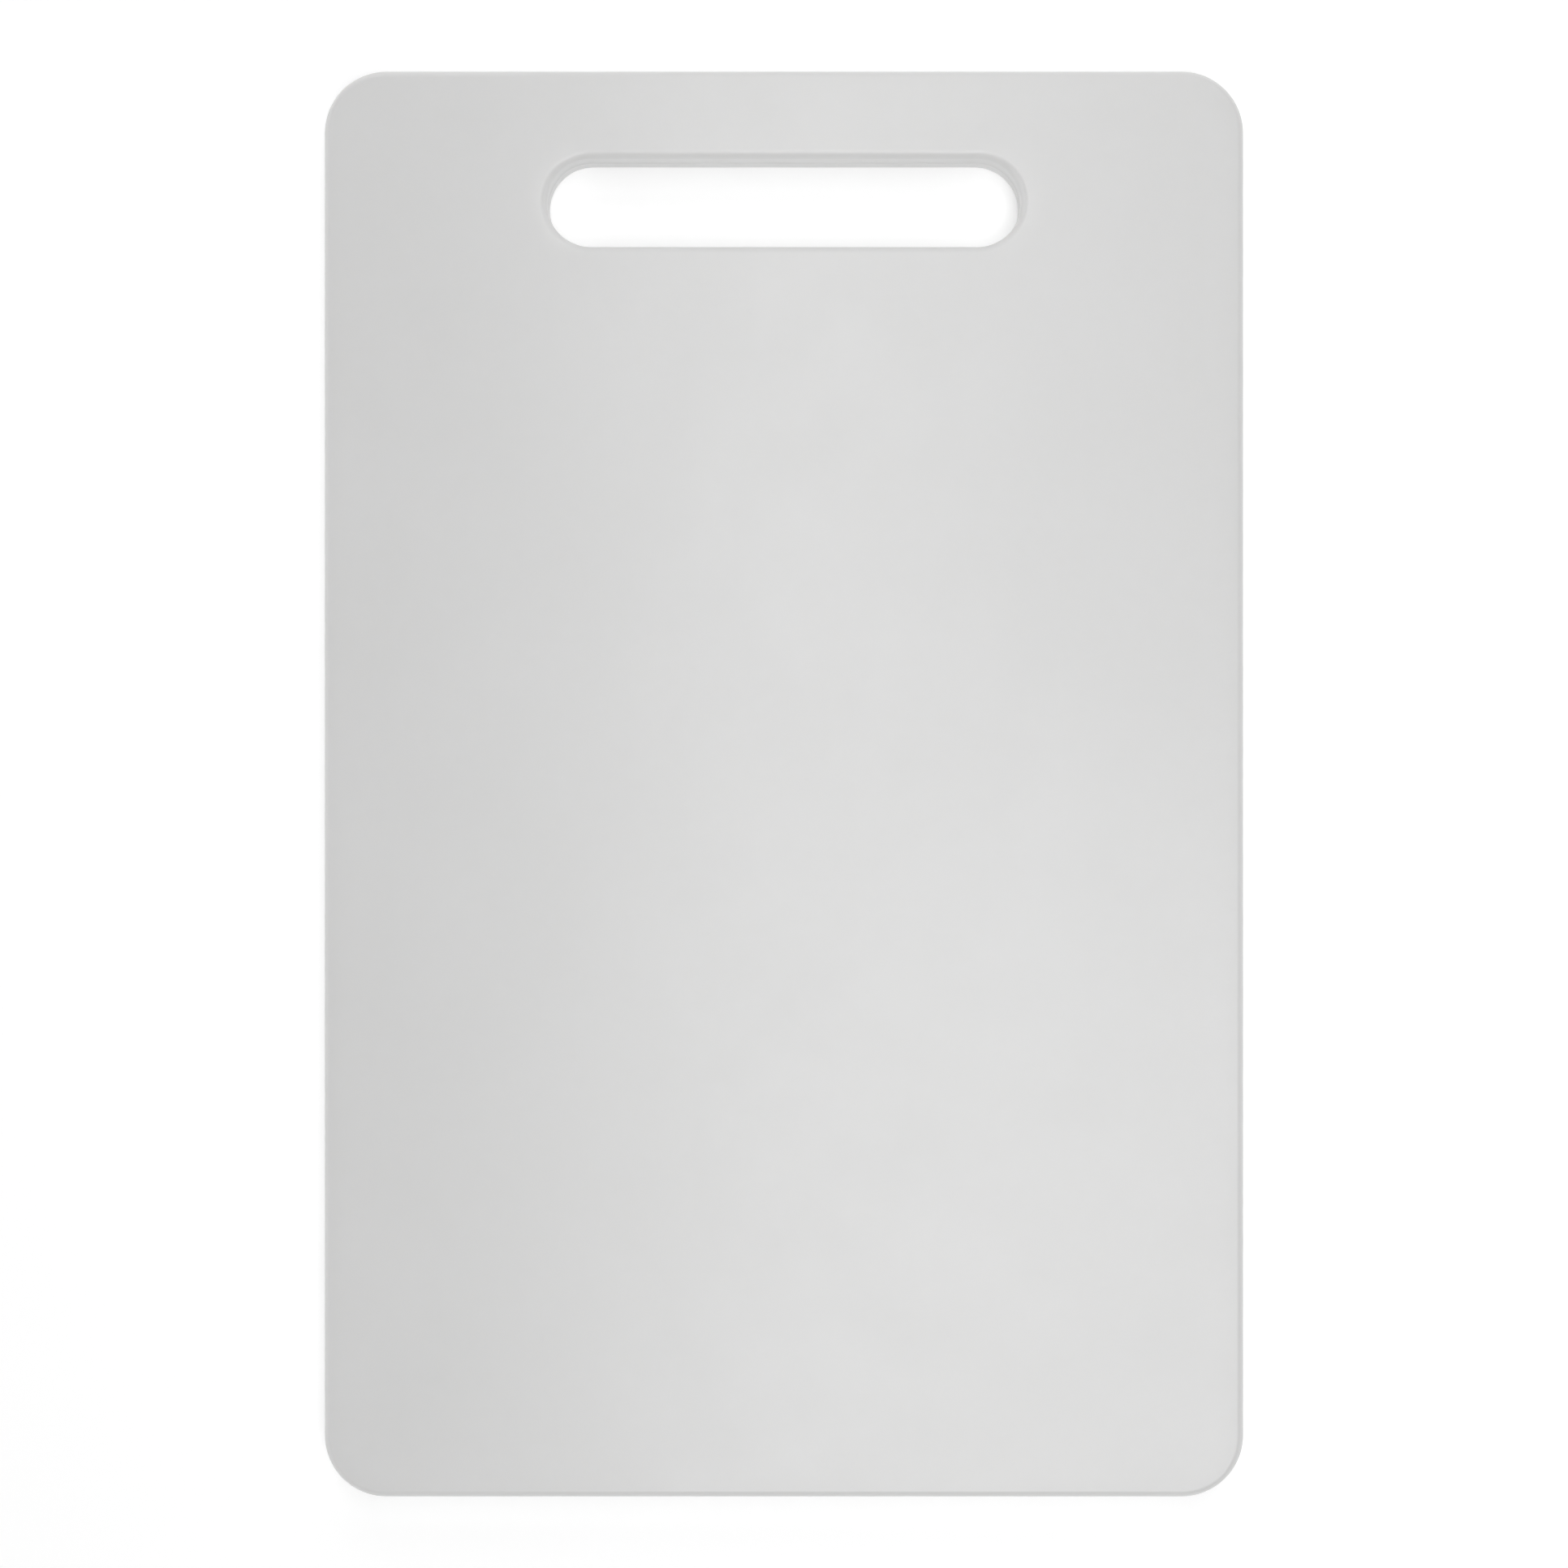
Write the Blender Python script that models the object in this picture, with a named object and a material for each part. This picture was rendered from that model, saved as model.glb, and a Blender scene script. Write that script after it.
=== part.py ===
"""Plastic cutting board: one moulded slab with rounded corners and a finger slot through its handle end.

The board lies flat on its underside. X runs across it, Y runs along it towards the handle end, and Z is
up through its thickness. The origin is the middle of the underside. Sizes are in metres.
"""

import math

import bmesh
import bpy
from mathutils import Vector

# Driving dimensions
WIDTH = 0.245
LENGTH = 0.380
THICKNESS = 0.012
CORNER_RADIUS = 0.0165  # the four corners, seen from above
EDGE_RADIUS = 0.002  # the round-over where each face meets the rim and the slot's wall
SLOT_LENGTH = 0.1265  # end to end, across the board
SLOT_WIDTH = 0.0235  # the room that the fingers get
SLOT_FROM_END = 0.035  # from the board's handle end to the slot's middle line

SLOT_MIDDLE = Vector((0, LENGTH / 2 - SLOT_FROM_END))

# How finely the round stretches are divided
CORNER_STEPS = 14
SLOT_END_STEPS = 28
EDGE_STEPS = 6

PLASTIC_COLOUR = (0.72, 0.72, 0.71, 1.0)
PLASTIC_ROUGHNESS = 0.4


def clear_scene():
    """Removes every object of the scene that the script runs in."""
    for thing in list(bpy.data.objects):
        bpy.data.objects.remove(thing)


def arc(centre, radius, start, end, steps):
    """Points on an arc about centre, from angle start to angle end, both of them included."""
    turn = (end - start) / steps
    angles = [start + turn * i for i in range(steps + 1)]
    return [centre + radius * Vector((math.cos(a), math.sin(a))) for a in angles]


def board_outline(inset):
    """The board's outline seen from above, anticlockwise and drawn in by inset."""
    radius = CORNER_RADIUS - inset
    outline = []
    corners = ((1, 1), (-1, 1), (-1, -1), (1, -1))
    for quarter, (side_x, side_y) in enumerate(corners):
        centre = Vector((side_x * (WIDTH / 2 - CORNER_RADIUS), side_y * (LENGTH / 2 - CORNER_RADIUS)))
        start = quarter * math.pi / 2
        outline += arc(centre, radius, start, start + math.pi / 2, CORNER_STEPS)
    return outline


def slot_outline(inset):
    """The slot's outline seen from above: half-round ends, and opened out by inset all round."""
    radius = SLOT_WIDTH / 2 + inset
    reach = Vector((SLOT_LENGTH / 2 - SLOT_WIDTH / 2, 0))
    right_end = arc(SLOT_MIDDLE + reach, radius, -math.pi / 2, math.pi / 2, SLOT_END_STEPS)
    left_end = arc(SLOT_MIDDLE - reach, radius, math.pi / 2, math.pi * 3 / 2, SLOT_END_STEPS)
    return right_end + left_end


def edge_profile():
    """(inset, height) pairs that climb a rounded edge, from the underside to the cutting face."""
    angles = [math.pi / 2 * i / EDGE_STEPS for i in range(EDGE_STEPS + 1)]
    lower = [(EDGE_RADIUS * (1 - math.sin(a)), EDGE_RADIUS * (1 - math.cos(a))) for a in angles]
    upper = [(inset, THICKNESS - height) for inset, height in reversed(lower)]
    return lower + upper


def add_wall(shape, outline):
    """Adds the upright wall that an outline makes on its way up the edge profile. Returns its rings."""
    rings = []
    for inset, height in edge_profile():
        rings.append([shape.verts.new((p.x, p.y, height)) for p in outline(inset)])
    for lower, upper in zip(rings, rings[1:]):
        for i in range(len(lower)):
            shape.faces.new((lower[i - 1], lower[i], upper[i], upper[i - 1]))
    return rings


def add_flat_face(shape, rim, slot_rim):
    """Fills the flat face that lies between the ring of the board's rim and the ring of the slot's."""
    edges = []
    for ring in (rim, slot_rim):
        edges += [shape.edges.get((ring[i - 1], ring[i])) for i in range(len(ring))]
    bmesh.ops.triangle_fill(shape, edges=edges, use_beauty=True)


def plastic():
    """The white polyethylene that the whole board is moulded from."""
    material = bpy.data.materials.new("white_plastic")
    material.use_nodes = True
    surface = material.node_tree.nodes["Principled BSDF"]
    surface.inputs["Base Color"].default_value = PLASTIC_COLOUR
    surface.inputs["Roughness"].default_value = PLASTIC_ROUGHNESS
    surface.inputs["Metallic"].default_value = 0.0
    return material


def make_board():
    """The board: its rim, the slot's wall, the underside and the cutting face, as one closed body."""
    shape = bmesh.new()
    rim = add_wall(shape, board_outline)
    slot_wall = add_wall(shape, slot_outline)
    add_flat_face(shape, rim[0], slot_wall[0])
    add_flat_face(shape, rim[-1], slot_wall[-1])
    bmesh.ops.recalc_face_normals(shape, faces=shape.faces)

    mesh = bpy.data.meshes.new("board")
    shape.to_mesh(mesh)
    shape.free()
    mesh.materials.append(plastic())
    mesh.shade_smooth()
    board = bpy.data.objects.new("board", mesh)
    bpy.context.scene.collection.objects.link(board)


clear_scene()
make_board()
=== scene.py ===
import math

import bmesh
import bpy
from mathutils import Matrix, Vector, noise
from mathutils.geometry import delaunay_2d_cdt


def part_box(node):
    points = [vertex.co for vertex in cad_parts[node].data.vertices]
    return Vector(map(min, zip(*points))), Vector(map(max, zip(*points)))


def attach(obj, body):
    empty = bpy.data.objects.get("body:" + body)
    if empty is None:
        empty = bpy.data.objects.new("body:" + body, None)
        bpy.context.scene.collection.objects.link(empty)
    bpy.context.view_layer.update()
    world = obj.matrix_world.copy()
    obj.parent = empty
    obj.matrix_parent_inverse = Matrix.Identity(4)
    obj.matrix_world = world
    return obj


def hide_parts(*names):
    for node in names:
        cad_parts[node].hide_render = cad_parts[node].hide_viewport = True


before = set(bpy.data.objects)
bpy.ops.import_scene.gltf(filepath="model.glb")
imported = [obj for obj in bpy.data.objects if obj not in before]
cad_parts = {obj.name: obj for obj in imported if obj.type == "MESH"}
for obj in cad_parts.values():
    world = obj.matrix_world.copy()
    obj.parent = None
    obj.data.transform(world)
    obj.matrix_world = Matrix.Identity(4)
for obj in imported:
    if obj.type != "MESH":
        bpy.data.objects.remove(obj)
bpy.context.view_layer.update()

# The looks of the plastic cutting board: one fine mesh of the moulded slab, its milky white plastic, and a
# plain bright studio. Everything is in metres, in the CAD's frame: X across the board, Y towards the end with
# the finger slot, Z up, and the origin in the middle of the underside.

# The board, as in the CAD
LOW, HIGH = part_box("board")
WIDTH, LENGTH, THICKNESS = HIGH - LOW
CORNER_RADIUS = 0.0165  # the four corners, seen from above
EDGE_RADIUS = 0.002  # the round-over where each face meets the rim and the slot's wall
SLOT_LENGTH = 0.1265  # end to end, across the board
SLOT_WIDTH = 0.0235
SLOT_FROM_END = 0.035  # from the board's handle end to the slot's middle line
SLOT_MIDDLE = Vector((0, LENGTH / 2 - SLOT_FROM_END))
SLOT_REACH = Vector((SLOT_LENGTH / 2 - SLOT_WIDTH / 2, 0))

# How finely the mesh is divided
MESH_SIZE = 0.004
CORNER_STEPS = 20
SLOT_END_STEPS = 40
EDGE_STEPS = 10
SAME_POINT = 1e-7  # points nearer than this count as one

# The fine raised line that the mould's two halves leave half way up the rim and the slot's wall
SEAM_PROUD = 0.0001
SEAM_HALF_WIDTH = 0.0003
SEAM_SHOULDER = 0.6  # the part of its full height that it has reached half way to its crest

# The faces are flat only to within the shrinkage of a moulding
WAVE_HEIGHT = 0.00003
WAVE_LENGTH = 0.055
WAVE_FADE = 0.012  # how far in from the lips the waves reach their full height

# The plastic: the sizes of what varies over its surface, and the depth of its skin's relief
CLOUD_SIZE = 0.045
FLECK_SIZE = 0.004
FLECK_SHARE = 0.3
DARKER_TINT = (0.712, 0.712, 0.708, 1)
LIGHTER_TINT = (0.728, 0.728, 0.726, 1)
POLISH_SIZE = 0.018
SMOOTHEST = 0.29
ROUGHEST = 0.33
PEEL_SIZE = 0.003
PEEL_DEPTH = 0.000012
PEBBLE_SIZE = 0.0007
PEBBLE_DEPTH = 0.000006
PLASTIC_IOR = 1.52
MILKINESS = 0.3
GLOW_REACH = 0.0015  # how far light spreads inside the plastic
GLOW_SPREAD = (1.0, 0.95, 0.9)  # the share of that reach that red, green and blue have

# The sockets of a Mix node that mixes colours
COLOUR_A = 6
COLOUR_B = 7
COLOUR_RESULT = 2

# The studio. The floor's own glow grows with the distance from the board. The sky is bright up to SKY_BRIGHT
# and dark above SKY_DARK, which are heights of a direction of unit length.
FLOOR_HALF = 15.0
FLOOR_COLOUR = (0.85, 0.85, 0.85, 1)
FLOOR_ROUGHNESS = 0.9
GLOW_NEAR = 0.3
GLOW_FAR = 1.0
GLOW_START = 0.35  # the distances at which it starts and stops growing
GLOW_END = 1.2
SKY_BRIGHT = 0.2
SKY_DARK = 0.5
WHITE = (1, 1, 1, 1)

# The soft lights: name, place, the point each one faces, size, and power in watts
SOFTBOXES = (
    ("near_left_box", (0, -0.45, 1.2), (0, -0.45, 0), (0.3, 0.9), 3.7),
    ("near_right_box", (0.35, -0.45, 1.2), (0.35, -0.45, 0), (0.4, 0.9), 4.25),
    ("far_left_box", (0, 0.45, 1.2), (0, 0.45, 0), (0.2, 0.9), 3.05),
    ("far_right_box", (0.3, 0.45, 1.2), (0.3, 0.45, 0), (0.4, 0.9), 1.75),
    ("far_fill_box", (0, 0.9, 0.6), (0, 0, 0), (1.2, 0.5), 2.3),
    ("left_fill_box", (-0.95, 0, 0.45), (0, 0, 0), (1.4, 0.5), 1.3),
)

# The camera
SENSOR_WIDTH = 36  # in millimetres
CAMERA_HEIGHT = 0.6  # above the cutting face
VIEW_WIDTH = 0.417  # what the picture takes in at the cutting face


def direction(angle):
    """The unit vector at an angle from the X axis."""
    return Vector((math.cos(angle), math.sin(angle)))


def closed_outline(arcs, radius, steps):
    """The anticlockwise outline through arcs of one radius, given as (centre, first angle, last angle)."""
    outline = []
    for i, (centre, start, end) in enumerate(arcs):
        turn = (end - start) / steps
        outline += [centre + radius * direction(start + turn * k) for k in range(steps)]
        leave = centre + radius * direction(end)
        next_centre, next_start, _ = arcs[(i + 1) % len(arcs)]
        arrive = next_centre + radius * direction(next_start)
        pieces = round((arrive - leave).length / MESH_SIZE)
        outline += [leave.lerp(arrive, k / pieces) for k in range(pieces)]
    return outline


def board_outline(inset):
    """The board's outline seen from above, drawn in by inset."""
    arcs = []
    corners = ((1, 1), (-1, 1), (-1, -1), (1, -1))
    for quarter, (side_x, side_y) in enumerate(corners):
        centre = Vector((side_x * (WIDTH / 2 - CORNER_RADIUS), side_y * (LENGTH / 2 - CORNER_RADIUS)))
        start = quarter * math.pi / 2
        arcs.append((centre, start, start + math.pi / 2))
    return closed_outline(arcs, CORNER_RADIUS - inset, CORNER_STEPS)


def slot_outline(inset):
    """The slot's outline seen from above, opened out by inset."""
    arcs = (
        (SLOT_MIDDLE + SLOT_REACH, -math.pi / 2, math.pi / 2),
        (SLOT_MIDDLE - SLOT_REACH, math.pi / 2, math.pi * 3 / 2),
    )
    return closed_outline(arcs, SLOT_WIDTH / 2 + inset, SLOT_END_STEPS)


def edge_profile():
    """(inset, height) pairs up a rounded edge and over the seam, from the underside to the cutting face."""
    angles = [math.pi / 2 * i / EDGE_STEPS for i in range(EDGE_STEPS + 1)]
    lower = [(EDGE_RADIUS * (1 - math.sin(a)), EDGE_RADIUS * (1 - math.cos(a))) for a in angles]
    lower.append((0, (EDGE_RADIUS + THICKNESS / 2) / 2))
    lower.append((0, THICKNESS / 2 - SEAM_HALF_WIDTH))
    lower.append((-SEAM_PROUD * SEAM_SHOULDER, THICKNESS / 2 - SEAM_HALF_WIDTH / 2))
    upper = [(inset, THICKNESS - height) for inset, height in reversed(lower)]
    return lower + [(-SEAM_PROUD, THICKNESS / 2)] + upper


def room_at(point):
    """How far a point of the flat face lies from the nearest lip of the board's edge or the slot's."""
    past_x = abs(point.x) - (WIDTH / 2 - CORNER_RADIUS)
    past_y = abs(point.y) - (LENGTH / 2 - CORNER_RADIUS)
    past_corner = Vector((max(past_x, 0), max(past_y, 0))).length
    from_rim = CORNER_RADIUS - past_corner - min(max(past_x, past_y), 0)
    along = max(-SLOT_REACH.x, min(SLOT_REACH.x, point.x))
    from_slot = (point - Vector((along, SLOT_MIDDLE.y))).length - SLOT_WIDTH / 2
    return min(from_rim, from_slot) - EDGE_RADIUS


def face_grid():
    """The points of a staggered grid that covers the flat face and keeps clear of its lips."""
    rows = round(LENGTH / MESH_SIZE)
    columns = round(WIDTH / MESH_SIZE)
    points = []
    for row in range(-rows // 2, rows // 2 + 1):
        for column in range(-columns // 2, columns // 2 + 1):
            point = Vector((column + (row % 2) / 2, row)) * MESH_SIZE
            if room_at(point) > MESH_SIZE / 2:
                points.append(point)
    return points


def wave(point, side):
    """The height of the moulding's slow waves at a point of a face, always into the plastic's own side."""
    fade = min(max(room_at(point) / WAVE_FADE, 0), 1)
    fade = fade * fade * (3 - 2 * fade)
    swell = noise.noise(Vector((point.x, point.y, side)) / WAVE_LENGTH)
    return WAVE_HEIGHT * fade * (swell - 1)


def add_wall(shape, outline):
    """Adds the wall that an outline makes up the edge profile. Returns its lowest and its highest ring."""
    rings = []
    for inset, height in edge_profile():
        rings.append([shape.verts.new((p.x, p.y, height)) for p in outline(inset)])
    for lower, upper in zip(rings, rings[1:]):
        for i in range(len(lower)):
            shape.faces.new((lower[i - 1], lower[i], upper[i], upper[i - 1]))
    return rings[0], rings[-1]


def ring_edges(first, count):
    """The index pairs that close a ring of count points, the first of which has index first."""
    return [(first + (i - 1) % count, first + i) for i in range(count)]


def add_face(shape, rim, slot_rim, height, side):
    """Adds a flat face between the ring of the board's rim and the slot's, with the waves of its side."""
    rings = rim + slot_rim
    points = [vert.co.xy for vert in rings]
    lips = ring_edges(0, len(rim)) + ring_edges(len(rim), len(slot_rim))
    inside = face_grid()
    _, _, triangles, *_ = delaunay_2d_cdt(points + inside, lips, [], 0, SAME_POINT)
    verts = list(rings)
    for point in inside:
        verts.append(shape.verts.new((point.x, point.y, height + side * wave(point, side))))
    for triangle in triangles:
        corners = [verts[i] for i in triangle]
        middle = sum((v.co.xy for v in corners), Vector((0, 0))) / 3
        if room_at(middle) > 0:
            shape.faces.new(corners)


def make_board():
    """The board's fine mesh: rim, slot wall, underside and cutting face, as one closed body."""
    shape = bmesh.new()
    rim_low, rim_high = add_wall(shape, board_outline)
    slot_low, slot_high = add_wall(shape, slot_outline)
    add_face(shape, rim_low, slot_low, 0, -1)
    add_face(shape, rim_high, slot_high, THICKNESS, 1)
    bmesh.ops.recalc_face_normals(shape, faces=shape.faces)
    mesh = bpy.data.meshes.new("board_shell")
    shape.to_mesh(mesh)
    shape.free()
    mesh.shade_smooth()
    board = bpy.data.objects.new("board_shell", mesh)
    bpy.context.scene.collection.objects.link(board)
    return board


class Nodes:
    """A short way to add and join the nodes of a material."""

    def __init__(self, material):
        material.use_nodes = True
        self.tree = material.node_tree
        self.surface = self.tree.nodes["Principled BSDF"]

    def add(self, kind, **values):
        """Adds a node. Each value sets the property of its name, or else the socket of that name."""
        node = self.tree.nodes.new(kind)
        for name, value in values.items():
            if hasattr(node, name):
                setattr(node, name, value)
            else:
                node.inputs[name.replace("_", " ")].default_value = value
        return node

    def join(self, source, target):
        self.tree.links.new(source, target)

    def noise(self, place, size, detail):
        """A noise texture whose features are about size metres across. Returns its value's socket."""
        node = self.add("ShaderNodeTexNoise", Scale=1 / size, Detail=detail)
        self.join(place, node.inputs["Vector"])
        return node.outputs["Fac"]

    def spread(self, value, low, high, start=0.3, end=0.7):
        """Maps start to end onto low to high. Without them, it takes the middle part of a noise."""
        node = self.add("ShaderNodeMapRange", From_Min=start, From_Max=end, To_Min=low, To_Max=high)
        self.join(value, node.inputs["Value"])
        return node.outputs["Result"]


def plastic():
    """Milky white polyethylene with a satin, finely pebbled skin."""
    material = bpy.data.materials.new("white_polyethylene")
    nodes = Nodes(material)
    surface = nodes.surface
    place = nodes.add("ShaderNodeTexCoord").outputs["Object"]

    # Slow, faint clouds where the melt cooled unevenly, and finer milky flecks on top of them
    clouds = nodes.noise(place, CLOUD_SIZE, 3)
    flecks = nodes.noise(place, FLECK_SIZE, 4)
    both = nodes.add("ShaderNodeMix", data_type="FLOAT")
    both.inputs["Factor"].default_value = FLECK_SHARE
    nodes.join(clouds, both.inputs["A"])
    nodes.join(flecks, both.inputs["B"])
    tint = nodes.add("ShaderNodeMix", data_type="RGBA")
    tint.inputs[COLOUR_A].default_value = DARKER_TINT
    tint.inputs[COLOUR_B].default_value = LIGHTER_TINT
    nodes.join(nodes.spread(both.outputs["Result"], 0, 1), tint.inputs["Factor"])
    nodes.join(tint.outputs[COLOUR_RESULT], surface.inputs["Base Color"])

    # The skin's gloss changes a little from place to place
    polish = nodes.noise(place, POLISH_SIZE, 4)
    nodes.join(nodes.spread(polish, SMOOTHEST, ROUGHEST), surface.inputs["Roughness"])

    # The mould's fine pebble over a softer, wider orange peel
    pebble = nodes.noise(place, PEBBLE_SIZE, 2)
    peel = nodes.noise(place, PEEL_SIZE, 2)
    peel_bump = nodes.add("ShaderNodeBump", Strength=1.0, Distance=PEEL_DEPTH)
    nodes.join(peel, peel_bump.inputs["Height"])
    pebble_bump = nodes.add("ShaderNodeBump", Strength=1.0, Distance=PEBBLE_DEPTH)
    nodes.join(pebble, pebble_bump.inputs["Height"])
    nodes.join(peel_bump.outputs["Normal"], pebble_bump.inputs["Normal"])
    nodes.join(pebble_bump.outputs["Normal"], surface.inputs["Normal"])

    surface.inputs["IOR"].default_value = PLASTIC_IOR
    surface.inputs["Subsurface Weight"].default_value = MILKINESS
    surface.inputs["Subsurface Radius"].default_value = GLOW_SPREAD
    surface.inputs["Subsurface Scale"].default_value = GLOW_REACH
    return material


def make_floor():
    """The plain white floor, with a glow of its own that keeps the board's shadow faint."""
    shape = bmesh.new()
    bmesh.ops.create_grid(shape, x_segments=1, y_segments=1, size=FLOOR_HALF)
    mesh = bpy.data.meshes.new("studio_floor")
    shape.to_mesh(mesh)
    shape.free()
    floor = bpy.data.objects.new("studio_floor", mesh)
    bpy.context.scene.collection.objects.link(floor)
    material = bpy.data.materials.new("studio_floor")
    nodes = Nodes(material)
    nodes.surface.inputs["Base Color"].default_value = FLOOR_COLOUR
    nodes.surface.inputs["Roughness"].default_value = FLOOR_ROUGHNESS
    nodes.surface.inputs["Emission Color"].default_value = WHITE
    place = nodes.add("ShaderNodeTexCoord").outputs["Object"]
    from_board = nodes.add("ShaderNodeVectorMath", operation="LENGTH")
    nodes.join(place, from_board.inputs[0])
    glow = nodes.spread(from_board.outputs["Value"], GLOW_NEAR, GLOW_FAR, GLOW_START, GLOW_END)
    nodes.join(glow, nodes.surface.inputs["Emission Strength"])
    mesh.materials.append(material)


def make_softbox(name, place, target, size, watts):
    """A rectangular soft light at place that faces target."""
    lamp = bpy.data.lights.new(name, "AREA")
    lamp.shape = "RECTANGLE"
    lamp.size, lamp.size_y = size
    lamp.energy = watts
    softbox = bpy.data.objects.new(name, lamp)
    softbox.location = place
    softbox.rotation_euler = (Vector(target) - Vector(place)).to_track_quat("-Z", "Y").to_euler()
    softbox.visible_camera = False
    bpy.context.scene.collection.objects.link(softbox)


def make_sky():
    """The studio's pale walls and its darker ceiling."""
    world = bpy.data.worlds.new("studio")
    bpy.context.scene.world = world
    world.use_nodes = True
    tree = world.node_tree
    place = tree.nodes.new("ShaderNodeTexCoord")
    split = tree.nodes.new("ShaderNodeSeparateXYZ")
    tree.links.new(place.outputs["Generated"], split.inputs["Vector"])
    height = tree.nodes.new("ShaderNodeMapRange")
    height.interpolation_type = "SMOOTHSTEP"
    height.inputs["From Min"].default_value = SKY_BRIGHT
    height.inputs["From Max"].default_value = SKY_DARK
    height.inputs["To Min"].default_value = 1.0
    height.inputs["To Max"].default_value = 0.0
    tree.links.new(split.outputs["Z"], height.inputs["Value"])
    background = tree.nodes["Background"]
    background.inputs["Color"].default_value = WHITE
    tree.links.new(height.outputs["Result"], background.inputs["Strength"])


def make_camera():
    """Looks straight down on the board, with the slot's end at the top of the picture."""
    lens = bpy.data.cameras.new("camera")
    lens.sensor_width = SENSOR_WIDTH
    lens.lens = SENSOR_WIDTH * CAMERA_HEIGHT / VIEW_WIDTH
    camera = bpy.data.objects.new("camera", lens)
    camera.location = (0, 0, THICKNESS + CAMERA_HEIGHT)
    bpy.context.scene.collection.objects.link(camera)
    bpy.context.scene.camera = camera


board = make_board()
board.data.materials.append(plastic())
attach(board, "root")
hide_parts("board")

make_floor()
make_sky()
for softbox in SOFTBOXES:
    make_softbox(*softbox)
make_camera()
bpy.context.scene.view_settings.view_transform = "Standard"
